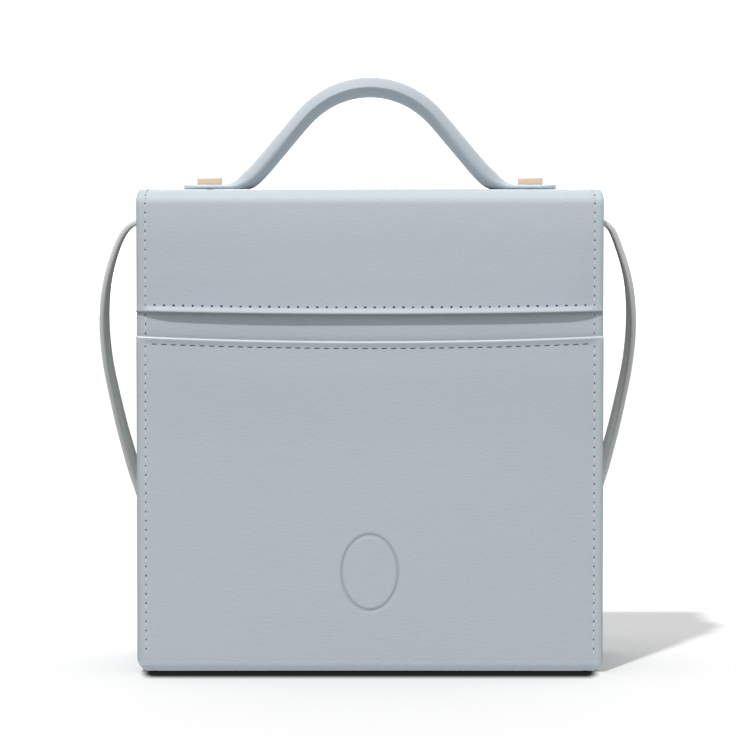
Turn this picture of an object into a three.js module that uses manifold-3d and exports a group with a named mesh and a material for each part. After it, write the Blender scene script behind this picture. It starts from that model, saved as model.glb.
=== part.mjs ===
// A small box bag of smooth pale leather: a bent wrap, two side gussets, a flap over the top,
// an arched top handle on two square studs, and a long flat shoulder strap that hangs from the
// gussets and lies on the floor behind the bag.
// Millimetres. +Z is up, -Y is the front, and the origin is the middle of the flat bottom.
import * as THREE from "three";
import { mergeVertices } from "three/addons/utils/BufferGeometryUtils.js";
import Module from "manifold-3d";

const wasm = await Module();
wasm.setup();

// Body
const bagWidth = 190;
const bagDepth = 74;
const bagHeight = 197.5;
const foldRadius = 6;
const bodyLeather = 2;
const panelLeather = 1.6;
const gussetLeather = 1.8;
const flangeWidth = 7;
const bottomTaper = 3.2;
const topClearance = 2;
const gap = 0.3;

// Pocket edge and flap
const flapLeather = 2.2;
const flapDrop = 50;
const flapTail = 30;
const topCrown = 0.2;
const cornerTaper = 1.8;
const bandHeight = 10.1;
const lipDip = 1.2;
const pocketDip = 2.1;
const lipSwell = 0.7;
const pocketSwell = 0.8;

// Handle
const handleRise = 41.3;
const crownRadius = 36;
const legAngle = 50;
const footRadius = 16;
const footFlare = 12;
const flareLead = 2;
const tongueLength = 18.7;
const tongueWidth = 15;
const tongueThickness = 1.7;
const archWidth = 18;
const apexThickness = 8.4;
const haunchThickness = 7.9;

// Studs and rivets
const studSize = 10.3;
const studHeight = 2.6;
const studBevel = 0.6;
const studInset = 10.9;
const shankRadius = 1.5;
const tailRadius = 3.2;
const tailThickness = 1.2;
const rivetRadius = 3.8;
const rivetHeight = 1.6;

// Strap
const strapLength = 1000;
const strapWidth = 12;
const strapThickness = 2.4;
const strapYaw = 8;
const strapReachLeft = 17.1;
const strapReachRight = 15.3;
const strapBehind = 122;
const strapOverDrop = 12.4;
const strapBendRadius = 6.2;
const strapBendAngle = 135;
const strapTab = 30;
const rivetBelowBend = 18;
const floorLoopRadius = 62;

const leather = { color: 0xb2bbc4, roughness: 0.5, metalness: 0 };
const strapLeather = { color: 0xa0a5a6, roughness: 0.55, metalness: 0 };
const gold = { color: 0xebcdaf, roughness: 0.22, metalness: 1 };

const halfWidth = bagWidth / 2;
const halfDepth = bagDepth / 2;
const foldTopZ = bagHeight - foldRadius;
const wallTopZ = foldTopZ - topClearance;
const pocketTopZ = bagHeight - flapDrop - bandHeight;
const gussetWallX = halfWidth - flangeWidth;
const rightAngle = Math.PI / 2;

// Collects the faces of one closed body and turns them outwards.
function closedGeometry(corners) {
  let sixVolumes = 0;
  for (let i = 0; i < corners.length; i += 3) {
    const across = new THREE.Vector3().crossVectors(corners[i + 1], corners[i + 2]);
    sixVolumes += corners[i].dot(across);
  }
  const ordered = sixVolumes > 0 ? corners : corners.slice().reverse();
  return new THREE.BufferGeometry().setFromPoints(ordered);
}

function addQuad(corners, a, b, c, d) {
  corners.push(a, b, c, a, c, d);
}

// A sheet with thickness: two grids of points, row by row, joined by a rim on all four borders.
function sheetGeometry(outer, inner) {
  const corners = [];
  const rows = outer.length - 1;
  const columns = outer[0].length - 1;
  for (let i = 0; i < rows; i++) {
    for (let j = 0; j < columns; j++) {
      addQuad(corners, outer[i][j], outer[i][j + 1], outer[i + 1][j + 1], outer[i + 1][j]);
      addQuad(corners, inner[i][j], inner[i + 1][j], inner[i + 1][j + 1], inner[i][j + 1]);
    }
    addQuad(corners, outer[i][0], outer[i + 1][0], inner[i + 1][0], inner[i][0]);
    addQuad(corners, outer[i + 1][columns], outer[i][columns], inner[i][columns], inner[i + 1][columns]);
  }
  for (let j = 0; j < columns; j++) {
    addQuad(corners, outer[0][j + 1], outer[0][j], inner[0][j], inner[0][j + 1]);
    addQuad(corners, outer[rows][j], outer[rows][j + 1], inner[rows][j + 1], inner[rows][j]);
  }
  return closedGeometry(corners);
}

// A bar through a list of rings, each with the same number of points, closed at both ends.
function barGeometry(rings) {
  const corners = [];
  const sides = rings[0].length;
  const last = rings.length - 1;
  for (let i = 0; i < last; i++) {
    for (let j = 0; j < sides; j++) {
      const k = (j + 1) % sides;
      addQuad(corners, rings[i][j], rings[i][k], rings[i + 1][k], rings[i + 1][j]);
    }
  }
  for (let j = 1; j < sides - 1; j++) {
    corners.push(rings[0][0], rings[0][j + 1], rings[0][j]);
    corners.push(rings[last][0], rings[last][j], rings[last][j + 1]);
  }
  return closedGeometry(corners);
}

function solidOf(geometry) {
  const plain = geometry.clone();
  plain.deleteAttribute("normal");
  plain.deleteAttribute("uv");
  const merged = mergeVertices(plain, 1e-4);
  const vertProperties = merged.attributes.position.array;
  const triVerts = new Uint32Array(merged.index.array);
  return new wasm.Manifold(new wasm.Mesh({ numProp: 3, vertProperties, triVerts }));
}

function geometryOf(solid) {
  const { vertProperties, triVerts } = solid.getMesh();
  const geometry = new THREE.BufferGeometry();
  geometry.setAttribute("position", new THREE.BufferAttribute(vertProperties, 3));
  return geometry.setIndex(new THREE.BufferAttribute(triVerts, 1));
}

function cylinder(radius, length, centre, axis) {
  const geometry = new THREE.CylinderGeometry(radius, radius, length, 12);
  if (axis === "z") geometry.rotateX(rightAngle);
  else geometry.rotateZ(rightAngle);
  return geometry.translate(centre.x, centre.y, centre.z);
}

function piece(name, geometry, look) {
  const mesh = new THREE.Mesh(geometry, new THREE.MeshStandardMaterial(look));
  mesh.geometry.computeVertexNormals();
  mesh.name = name;
  return mesh;
}

// A station is a point of a profile in the YZ plane with the normal that faces out of the leather.
function station(y, z, ny, nz) {
  return { y, z, ny, nz };
}

// Stations on an arc, from one angle to another, measured from +Y towards +Z.
function arcStations(y, z, radius, from, to, steps) {
  return Array.from({ length: steps + 1 }, (_, i) => {
    const angle = from + ((to - from) * i) / steps;
    const ny = Math.cos(angle);
    const nz = Math.sin(angle);
    return station(y + radius * ny, z + radius * nz, ny, nz);
  });
}

// Stations on a straight stretch, without its last point.
function lineStations(y, fromZ, toZ, ny, steps) {
  return Array.from({ length: steps }, (_, i) => station(y, fromZ + ((toZ - fromZ) * i) / steps, ny, 0));
}

// The width shares at which a panel has points: closer together near its side edges.
const widthShares = [-1, -0.94, -0.84, -0.6, -0.3, 0, 0.3, 0.6, 0.84, 0.94, 1];

// How much of a swell or dip is left at a width share: all in the middle, none at the edges.
const swellAt = (share) => 1 - share ** 4;
const dipAt = (share) => 1 - share ** 2;

// Half the bag's width at a height: it draws in around the bottom fold.
function halfWidthAt(z) {
  const draw = Math.max(0, 1 - z / foldRadius);
  return halfWidth - bottomTaper * draw ** 2;
}

// Half the flap's width at a height: its corners draw in around the top folds.
function flapHalfWidthAt(z) {
  const draw = Math.min(1, Math.max(0, (z - foldTopZ) / foldRadius));
  return halfWidth - cornerTaper * draw ** 4;
}

// A panel of leather that follows a profile. Its free front edge dips and swells in the middle,
// and both fade to nothing where the front meets the fold.
function panelGeometry(stations, thickness, widthAt, edgeZ, foldZ, dip, swell) {
  const outer = [];
  const inner = [];
  for (const { y, z, ny, nz } of stations) {
    const onFront = ny === -1;
    const fade = onFront ? Math.min(1, Math.max(0, (z - foldZ) / (edgeZ - foldZ))) : 0;
    const sheet = (depth) =>
      widthShares.map((share) => {
        const x = share * widthAt(z);
        const forward = swell * fade ** 2 * swellAt(share);
        const down = dip * fade * dipAt(share);
        return new THREE.Vector3(x, y - ny * depth - forward, z - nz * depth - down);
      });
    outer.push(sheet(0));
    inner.push(sheet(thickness));
  }
  return sheetGeometry(outer, inner);
}

// The wrap: pocket edge, front, bottom fold, bottom, back fold, back.
function bodyWrap() {
  const foldY = halfDepth - foldRadius;
  const front = lineStations(-halfDepth, pocketTopZ, foldRadius, -1, 6);
  const frontFold = arcStations(-foldY, foldRadius, foldRadius, Math.PI, 3 * rightAngle, 6);
  const backFold = arcStations(foldY, foldRadius, foldRadius, 3 * rightAngle, 4 * rightAngle, 6);
  const backTop = station(halfDepth, wallTopZ, 1, 0);
  const stations = [...front, ...frontFold, ...backFold, backTop];
  return panelGeometry(stations, bodyLeather, halfWidthAt, pocketTopZ, foldRadius, pocketDip, pocketSwell);
}

// The inner front wall stands behind the pocket and runs up under the flap.
function innerFrontPanel() {
  const y = -halfDepth + bodyLeather + gap;
  const grid = (depth) =>
    [foldRadius, wallTopZ].map((z) =>
      [-1, 1].map((share) => new THREE.Vector3(share * halfWidthAt(z), y + depth, z)),
    );
  return sheetGeometry(grid(0), grid(panelLeather));
}

// The gusset's seam path: down the front, round the bottom and up the back, against the other
// pieces, as stations whose normals face out of the bag.
function seamStations() {
  const seamRadius = foldRadius - bodyLeather - gap;
  const frontY = -halfDepth + bodyLeather + panelLeather + 2 * gap;
  const backY = halfDepth - bodyLeather - gap;
  const top = station(frontY, wallTopZ, -1, 0);
  const frontFold = arcStations(frontY + seamRadius, foldRadius, seamRadius, Math.PI, 3 * rightAngle, 4);
  const backFold = arcStations(backY - seamRadius, foldRadius, seamRadius, 3 * rightAngle, 4 * rightAngle, 4);
  return [top, ...frontFold, ...backFold, station(backY, wallTopZ, 1, 0)];
}

// A gusset: a flat wall whose edge bends outwards into a flange along the seam path.
// side is -1 on the left and 1 on the right.
function gusset(side) {
  const bendRadius = foldRadius - bodyLeather - 2 * gap;
  const wallInnerX = gussetWallX - gussetLeather;
  const bendX = wallInnerX + bendRadius;
  const path = seamStations();
  const bendSteps = 3;
  const skin = (radius, depth) =>
    path.map((seam) => {
      const at = (x, inward) =>
        new THREE.Vector3(side * x, seam.y - seam.ny * inward, seam.z - seam.nz * inward);
      const row = [at(halfWidthAt(foldRadius * (1 + seam.nz)), depth)];
      for (let i = 0; i <= bendSteps; i++) {
        const angle = (rightAngle * i) / bendSteps;
        row.push(at(bendX - radius * Math.sin(angle), bendRadius - radius * Math.cos(angle)));
      }
      return row;
    });
  const inside = skin(bendRadius, 0);
  const outside = skin(bendRadius - gussetLeather, gussetLeather);
  const corners = [];
  const rows = path.length - 1;
  const columns = inside[0].length - 1;
  for (let i = 0; i < rows; i++) {
    for (let j = 0; j < columns; j++) {
      addQuad(corners, inside[i][j], inside[i][j + 1], inside[i + 1][j + 1], inside[i + 1][j]);
      addQuad(corners, outside[i][j], outside[i + 1][j], outside[i + 1][j + 1], outside[i][j + 1]);
    }
    addQuad(corners, inside[i][0], inside[i + 1][0], outside[i + 1][0], outside[i][0]);
  }
  for (let j = 0; j < columns; j++) {
    addQuad(corners, inside[0][j + 1], inside[0][j], outside[0][j], outside[0][j + 1]);
    addQuad(corners, inside[rows][j], inside[rows][j + 1], outside[rows][j + 1], outside[rows][j]);
  }
  for (let i = 1; i < rows; i++) {
    corners.push(inside[0][columns], inside[i + 1][columns], inside[i][columns]);
    corners.push(outside[0][columns], outside[i][columns], outside[i + 1][columns]);
  }
  addQuad(corners, inside[0][columns], outside[0][columns], outside[rows][columns], inside[rows][columns]);
  const hole = cylinder(shankRadius + gap, 4 * gussetLeather, rivetCentre(side, gussetWallX), "x");
  return geometryOf(solidOf(closedGeometry(corners)).subtract(solidOf(hole)));
}

// The flap lies outside the back wall and flush with the front of the wrap.
const flapFrontY = -halfDepth;
const flapBackY = halfDepth + gap + flapLeather;
const flapMiddleY = (flapFrontY + flapBackY) / 2;
const flapFoldY = (flapBackY - flapFrontY) / 2 - foldRadius;
const crownAngle = 2 * Math.atan(topCrown / flapFoldY);
const crownTopZ = bagHeight + topCrown;

// Two folds joined by the low arc of the top, which is tangent to both.
function flap() {
  const arcRadius = foldRadius + flapFoldY / Math.sin(crownAngle);
  const front = lineStations(flapFrontY, bagHeight - flapDrop, foldTopZ, -1, 5);
  const up = rightAngle + crownAngle;
  const frontFold = arcStations(flapMiddleY - flapFoldY, foldTopZ, foldRadius, Math.PI, up, 6);
  const crown = arcStations(flapMiddleY, crownTopZ - arcRadius, arcRadius, up, Math.PI - up, 6);
  const backFold = arcStations(flapMiddleY + flapFoldY, foldTopZ, foldRadius, Math.PI - up, 0, 6);
  const tail = station(flapBackY, foldTopZ - flapTail, 1, 0);
  const stations = [...front, ...frontFold, ...crown.slice(1, -1), ...backFold, tail];
  const sheet = panelGeometry(
    stations,
    flapLeather,
    flapHalfWidthAt,
    bagHeight - flapDrop,
    foldTopZ,
    lipDip,
    lipSwell,
  );
  const holes = [-1, 1].map((side) =>
    solidOf(cylinder(shankRadius + gap, 6 * flapLeather, new THREE.Vector3(side * studX, 0, crownTopZ), "z")),
  );
  return geometryOf(solidOf(sheet).subtract(holes[0]).subtract(holes[1]));
}

// The handle's centre line, from the left tongue's tip to the right one's: a flat tongue, a foot
// bend, a straight leg, the crown arc, and the same again in mirror image.
const legTurn = THREE.MathUtils.degToRad(legAngle);
const tongueZ = crownTopZ + gap + tongueThickness / 2;
const legLength =
  (handleRise - (crownRadius + footRadius) * (1 - Math.cos(legTurn))) / Math.sin(legTurn);
const footX = (crownRadius + footRadius) * Math.sin(legTurn) + legLength * Math.cos(legTurn);
const flareStartX = footX + flareLead;
const tipX = footX + tongueLength;
const studX = tipX - studInset;

function handleStations() {
  const stations = [];
  const add = (x, z, angle) => stations.push({ x, z, angle });
  for (const share of [0, 0.1, 0.25, 0.6, 0.75, 0.82, 0.9]) add(-tipX + tongueLength * share, tongueZ, 0);
  const bendSteps = 7;
  for (let i = 0; i <= bendSteps; i++) {
    const angle = (legTurn * i) / bendSteps;
    add(-footX + footRadius * Math.sin(angle), tongueZ + footRadius * (1 - Math.cos(angle)), angle);
  }
  const apexZ = tongueZ + handleRise;
  const crownSteps = 8;
  for (let i = 0; i <= crownSteps; i++) {
    const angle = legTurn * (1 - i / crownSteps);
    add(-crownRadius * Math.sin(angle), apexZ - crownRadius * (1 - Math.cos(angle)), angle);
  }
  const mirrored = stations.slice(0, -1).reverse();
  return [...stations, ...mirrored.map(({ x, z, angle }) => ({ x: -x, z, angle: -angle }))];
}

// A lens section: two low domes that meet in an edge on each side. A tongue is nearly flat, and
// no part of a foot reaches below it.
function handle() {
  const steps = 8;
  const rings = handleStations().map(({ x, z, angle }) => {
    const along = Math.min(1, (tipX - Math.abs(x)) / tongueLength);
    const tip = Math.sqrt(Math.min(1, 0.15 + along * 5));
    const rise = THREE.MathUtils.smoothstep(flareStartX - Math.abs(x), 0, footFlare);
    const crest = THREE.MathUtils.smoothstep((z - tongueZ) / handleRise, 0.6, 1);
    const arch = THREE.MathUtils.lerp(haunchThickness, apexThickness, crest);
    const half = THREE.MathUtils.lerp(tongueWidth * tip, archWidth, rise) / 2;
    const thick = THREE.MathUtils.lerp(tongueThickness, arch, rise) / 2;
    const squareness = THREE.MathUtils.lerp(0.25, 0.8, rise);
    const ring = [];
    for (let i = 0; i < 2 * steps; i++) {
      const turn = (Math.PI * i) / steps;
      const lift = thick * Math.sign(Math.sin(turn)) * Math.abs(Math.sin(turn)) ** squareness;
      const level = i % steps === 0 ? 0 : lift;
      const pointZ = Math.max(crownTopZ + gap, z + level * Math.cos(angle));
      ring.push(new THREE.Vector3(x - level * Math.sin(angle), half * Math.cos(turn), pointZ));
    }
    return ring;
  });
  let solid = solidOf(barGeometry(rings));
  for (const side of [-1, 1]) {
    const centre = new THREE.Vector3(side * studX, 0, tongueZ);
    solid = solid.subtract(solidOf(cylinder(shankRadius + gap, 4 * tongueThickness, centre, "z")));
  }
  return geometryOf(solid);
}

// A square stud: a block with bevelled top edges, a shank through tongue and flap, and a tail.
function handleStud(side) {
  const seatZ = tongueZ + tongueThickness / 2 + gap;
  const ring = (half, z) =>
    [[-1, -1], [1, -1], [1, 1], [-1, 1]].map(([a, b]) => new THREE.Vector3(side * studX + a * half, b * half, z));
  const half = studSize / 2;
  const block = barGeometry([
    ring(half, seatZ),
    ring(half, seatZ + studHeight - studBevel),
    ring(half - studBevel, seatZ + studHeight),
  ]);
  const tailTopZ = crownTopZ - flapLeather - 2 * gap;
  const shankLength = seatZ - tailTopZ + gap + studHeight / 2;
  const shankCentre = new THREE.Vector3(side * studX, 0, tailTopZ - gap + shankLength / 2);
  const shank = cylinder(shankRadius, shankLength, shankCentre, "z");
  const tailCentre = new THREE.Vector3(side * studX, 0, tailTopZ - tailThickness / 2);
  const tail = cylinder(tailRadius, tailThickness, tailCentre, "z");
  return geometryOf(solidOf(block).add(solidOf(shank)).add(solidOf(tail)));
}

// The strap's end tab lies on the gusset and points up. A tight bend carries it over and down.
const tabX = gussetWallX + gap + strapThickness / 2;
const bendTopZ = bagHeight - strapOverDrop;
const bendTurn = THREE.MathUtils.degToRad(strapBendAngle);
const yawTurn = THREE.MathUtils.degToRad(strapYaw);
const rivetZ = bendTopZ - strapBendRadius - rivetBelowBend;

function rivetCentre(side, x) {
  return new THREE.Vector3(side * x, 0, rivetZ);
}

function strapRivet(side) {
  const headX = tabX + strapThickness / 2 + gap + rivetHeight / 2;
  const tailX = gussetWallX - gussetLeather - gap - tailThickness / 2;
  const shankLength = headX - tailX;
  const shank = cylinder(shankRadius, shankLength, rivetCentre(side, (headX + tailX) / 2), "x");
  const head = cylinder(rivetRadius, rivetHeight, rivetCentre(side, headX), "x");
  const tail = cylinder(tailRadius, tailThickness, rivetCentre(side, tailX), "x");
  return geometryOf(solidOf(head).add(solidOf(shank)).add(solidOf(tail)));
}

// How the strap falls from its bend to the floor. down: share of the height. spread: share of
// the way out from the floor loop to the widest point. back: share of the way back to where it
// lies flat. turn: share of the quarter turn from hanging edge-on to lying flat.
const strapFall = [
  { down: 0.028, spread: 0.835, back: 0.013, turn: 0 },
  { down: 0.122, spread: 0.955, back: 0.05, turn: 0 },
  { down: 0.216, spread: 1, back: 0.107, turn: 0 },
  { down: 0.315, spread: 0.99, back: 0.175, turn: 0.01 },
  { down: 0.413, spread: 0.94, back: 0.25, turn: 0.03 },
  { down: 0.511, spread: 0.873, back: 0.325, turn: 0.05 },
  { down: 0.614, spread: 0.78, back: 0.4, turn: 0.09 },
  { down: 0.742, spread: 0.61, back: 0.485, turn: 0.3 },
  { down: 0.868, spread: 0.43, back: 0.575, turn: 0.62 },
  { down: 0.962, spread: 0.24, back: 0.67, turn: 0.9 },
  { down: 0.998, spread: 0.08, back: 0.79, turn: 1 },
  { down: 1, spread: 0.005, back: 0.91, turn: 1 },
  { down: 1, spread: 0, back: 1, turn: 1 },
];

// One side of the strap, from its tab to where it lies flat on the floor.
function strapSide(side, reach) {
  const stations = [];
  const add = (x, y, z, turn) => stations.push({ point: new THREE.Vector3(side * x, y, z), turn });
  add(tabX, 0, bendTopZ - strapBendRadius - strapTab, 0);
  const bendSteps = 8;
  for (let i = 0; i <= bendSteps; i++) {
    const angle = (bendTurn * i) / bendSteps;
    const x = tabX + strapBendRadius * (1 - Math.cos(angle));
    add(x, 0, bendTopZ - strapBendRadius * (1 - Math.sin(angle)), 0);
  }
  const start = stations[stations.length - 1].point;
  const restZ = strapThickness / 2;
  const knots = strapFall.map(({ down, spread, back }) => {
    const x = THREE.MathUtils.lerp(floorLoopRadius, halfWidth + reach, spread);
    const z = THREE.MathUtils.lerp(start.z, restZ, down);
    return new THREE.Vector3(side * x, back * (halfDepth + strapBehind), z);
  });
  const fall = new THREE.CatmullRomCurve3([start, ...knots], false, "centripetal");
  const turns = [0, ...strapFall.map((row) => row.turn)];
  const steps = 3 * knots.length;
  for (let i = 1; i <= steps; i++) {
    const share = i / steps;
    const row = Math.min(turns.length - 2, Math.floor(share * knots.length));
    const turn = THREE.MathUtils.lerp(turns[row], turns[row + 1], share * knots.length - row);
    const point = fall.getPoint(share);
    add(side * point.x, point.y, Math.max(restZ, point.z), turn);
  }
  return stations;
}

function pathLength(stations) {
  return stations.slice(1).reduce((sum, s, i) => sum + s.point.distanceTo(stations[i].point), 0);
}

// The whole strap: both sides, two straight legs on the floor and the half circle that joins
// them. The legs take up what the strap's length leaves.
function strapStations() {
  const left = strapSide(-1, strapReachLeft);
  const right = strapSide(1, strapReachRight);
  const sides = pathLength(left) + pathLength(right);
  const leg = (strapLength - sides - Math.PI * floorLoopRadius) / 2;
  const from = left[left.length - 1].point;
  const arcY = from.y + leg;
  const arcSteps = 16;
  const loop = Array.from({ length: arcSteps + 1 }, (_, i) => {
    const angle = Math.PI * (1 - i / arcSteps);
    const x = floorLoopRadius * Math.cos(angle);
    const y = arcY + floorLoopRadius * Math.sin(angle);
    return { point: new THREE.Vector3(x, y, from.z), turn: 1 };
  });
  return [...left, ...loop, ...right.reverse()];
}

// The strap's outer face looks away from the bag, and a little back, where it hangs, and up
// where it lies.
function strap() {
  const stations = strapStations();
  const chamfer = strapThickness * 0.3;
  const a = strapWidth / 2;
  const b = strapThickness / 2;
  const outline = [
    [a - chamfer, b], [a, b - chamfer], [a, chamfer - b], [a - chamfer, -b],
    [chamfer - a, -b], [-a, chamfer - b], [-a, b - chamfer], [chamfer - a, b],
  ];
  const upright = new THREE.Vector3(0, 0, 1);
  const backward = new THREE.Vector3(0, 1, 0);
  const rings = stations.map(({ point, turn }, i) => {
    const before = stations[Math.max(0, i - 1)].point;
    const after = stations[Math.min(stations.length - 1, i + 1)].point;
    const along = new THREE.Vector3().subVectors(after, before).normalize();
    const level = (v) => v.clone().addScaledVector(along, -v.dot(along)).normalize();
    const angle = turn * rightAngle;
    const hanging = new THREE.Vector3().crossVectors(backward, along).normalize();
    const yaw = yawTurn * THREE.MathUtils.smoothstep(point.y, 0, halfDepth / 2);
    const turned = blend(hanging, backward, yaw);
    const normal = level(blend(turned, level(upright), angle));
    const across = new THREE.Vector3().crossVectors(along, normal).normalize();
    return outline.map(([w, n]) => point.clone().addScaledVector(across, w).addScaledVector(normal, n));
  });
  let solid = solidOf(barGeometry(rings));
  for (const side of [-1, 1]) {
    const hole = cylinder(shankRadius + gap, 3 * strapThickness, rivetCentre(side, tabX), "x");
    solid = solid.subtract(solidOf(hole));
  }
  return geometryOf(solid);
}

function blend(from, to, angle) {
  return from.clone().multiplyScalar(Math.cos(angle)).addScaledVector(to, Math.sin(angle));
}

const bag = new THREE.Group();
bag.add(piece("body_wrap", bodyWrap(), leather));
bag.add(piece("inner_front_panel", innerFrontPanel(), leather));
bag.add(piece("flap", flap(), leather));
bag.add(piece("handle", handle(), leather));
bag.add(piece("strap", strap(), strapLeather));
for (const [word, side] of [["left", -1], ["right", 1]]) {
  bag.add(piece(`gusset_${word}`, gusset(side), leather));
  bag.add(piece(`handle_stud_${word}`, handleStud(side), gold));
  bag.add(piece(`strap_rivet_${word}`, strapRivet(side), gold));
}

export default bag;
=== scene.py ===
"""A small box bag of smooth pale leather, dressed over its CAD frame and set up as a studio picture.

Shapes are worked out in millimetres as numpy grids, +Z up and the front at -Y, and the meshes
are metres. The sizes repeat those of the bag's solids.
"""

import math

import bpy
import numpy as np
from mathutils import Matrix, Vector


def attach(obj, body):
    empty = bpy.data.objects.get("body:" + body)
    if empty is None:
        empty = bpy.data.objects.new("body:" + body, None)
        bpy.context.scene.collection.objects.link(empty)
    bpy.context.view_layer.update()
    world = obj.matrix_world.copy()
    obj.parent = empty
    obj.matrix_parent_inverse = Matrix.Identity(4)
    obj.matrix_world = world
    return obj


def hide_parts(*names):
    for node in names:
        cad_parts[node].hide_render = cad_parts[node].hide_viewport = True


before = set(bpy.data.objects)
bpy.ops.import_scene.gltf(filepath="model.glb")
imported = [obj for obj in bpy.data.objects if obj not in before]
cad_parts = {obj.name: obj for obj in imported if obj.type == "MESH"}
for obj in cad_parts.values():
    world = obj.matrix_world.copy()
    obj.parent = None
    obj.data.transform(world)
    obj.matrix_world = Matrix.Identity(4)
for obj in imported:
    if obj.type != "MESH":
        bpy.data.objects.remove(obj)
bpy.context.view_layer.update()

# Body
HALF_WIDTH = 95.0
HALF_DEPTH = 37.0
HEIGHT = 197.5
FOLD = 6.0
WRAP_LEATHER = 2.0
PANEL_LEATHER = 1.6
GUSSET_LEATHER = 1.8
GUSSET_SAG = 0.5
FLANGE = 7.0
BOTTOM_TAPER = 3.2
GAP = 0.3
FOLD_TOP = HEIGHT - FOLD
WALL_TOP = FOLD_TOP - 2.0

# Flap and pocket edge
FLAP_LEATHER = 2.2
FLAP_DROP = 50.0
FLAP_TAIL = 30.0
TOP_CROWN = 0.2
CORNER_TAPER = 0.9
BAND = 10.1
LIP_DIP = 1.2
POCKET_DIP = 2.1
LIP_SWELL = 0.7
POCKET_SWELL = 0.8
LIP_ROLL = 0.8
LIP_EDGE = 0.8
POCKET_ROLL = 0.7
POCKET_LEAN = 1.0
LEAN_START = 92.0
POCKET_SKIVE = 0.5
POCKET_RIM = 0.6
FLAP_SKIVE = 1.1
FLAP_GLINT = 0.4
LIP_Z = HEIGHT - FLAP_DROP
POCKET_Z = LIP_Z - BAND
CROWN_Z = HEIGHT + TOP_CROWN

# Handle
HANDLE_RISE = 41.3
CROWN_RADIUS = 36.0
LEG_TURN = math.radians(50)
FOOT_RADIUS = 16.0
FOOT_FLARE = 12.0
FLARE_LEAD = 2.0
TONGUE_LENGTH = 18.7
TONGUE_WIDTH = 15.0
TONGUE_THICK = 1.7
ARCH_WIDTH = 18.0
APEX_THICK = 8.4
HAUNCH_THICK = 7.9
HANDLE_EASE = 5.0

# Studs and rivets
STUD_SIZE = 10.3
STUD_HEIGHT = 2.6
STUD_INSET = 10.9
STUD_ROLL = 0.45
SHANK = 1.5
TAIL_RADIUS = 3.2
TAIL_THICK = 1.2
RIVET_RADIUS = 3.8
RIVET_HEIGHT = 1.6

# Strap
STRAP_LENGTH = 1000.0
STRAP_WIDTH = 12.0
STRAP_THICK = 2.4
STRAP_YAW = math.radians(8)
STRAP_REACH = {-1: 17.1, 1: 15.3}
STRAP_BEHIND = 122.0
STRAP_BEND_TOP = HEIGHT - 12.4
STRAP_BEND = 6.2
STRAP_TURN = math.radians(135)
STRAP_TAB = 30.0
STRAP_CORNER = 1.0
BEND_EASE = 5.5
RIVET_Z = STRAP_BEND_TOP - STRAP_BEND - 18.0
FLOOR_LOOP = 62.0

# Sewing
STITCH_PITCH = 3.76
SEAM_INSET = 3.4
LIP_SEAM = 2.4
POCKET_SEAM = 2.3
THREAD = 0.28
STITCH_LENGTH = 2.2
HOLE = 0.42
HOLE_FLAT = 0.3
DASH_LENGTH = 2.7
DASH_RADIUS = 0.34
DASH_SLANT = math.radians(3)


def smooth(value, low, high):
    """0 before low, 1 past high, and a smooth cubic between. It falls where low is the larger."""
    share = np.clip((value - low) / (high - low), 0, 1)
    return share * share * (3 - 2 * share)


# Materials


class Socket:
    """A shader value that takes part in sums: each operator adds one Math node."""

    def __init__(self, finish, socket):
        self.finish = finish
        self.socket = socket

    def _math(self, operation, *values):
        return self.finish.node("ShaderNodeMath", {"operation": operation}, values)

    def __add__(self, other):
        return self._math("ADD", self, other)

    def __radd__(self, other):
        return self._math("ADD", other, self)

    def __sub__(self, other):
        return self._math("SUBTRACT", self, other)

    def __rsub__(self, other):
        return self._math("SUBTRACT", other, self)

    def __mul__(self, other):
        return self._math("MULTIPLY", self, other)

    def __rmul__(self, other):
        return self._math("MULTIPLY", other, self)

    def __truediv__(self, other):
        return self._math("DIVIDE", self, other)

    def __pow__(self, other):
        return self._math("POWER", self, other)

    def __rpow__(self, other):
        return self._math("POWER", other, self)

    def size(self):
        return self._math("ABSOLUTE", self)

    def at_least(self, other):
        return self._math("MAXIMUM", self, other)

    def below(self, other):
        return self._math("LESS_THAN", self, other)


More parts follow.
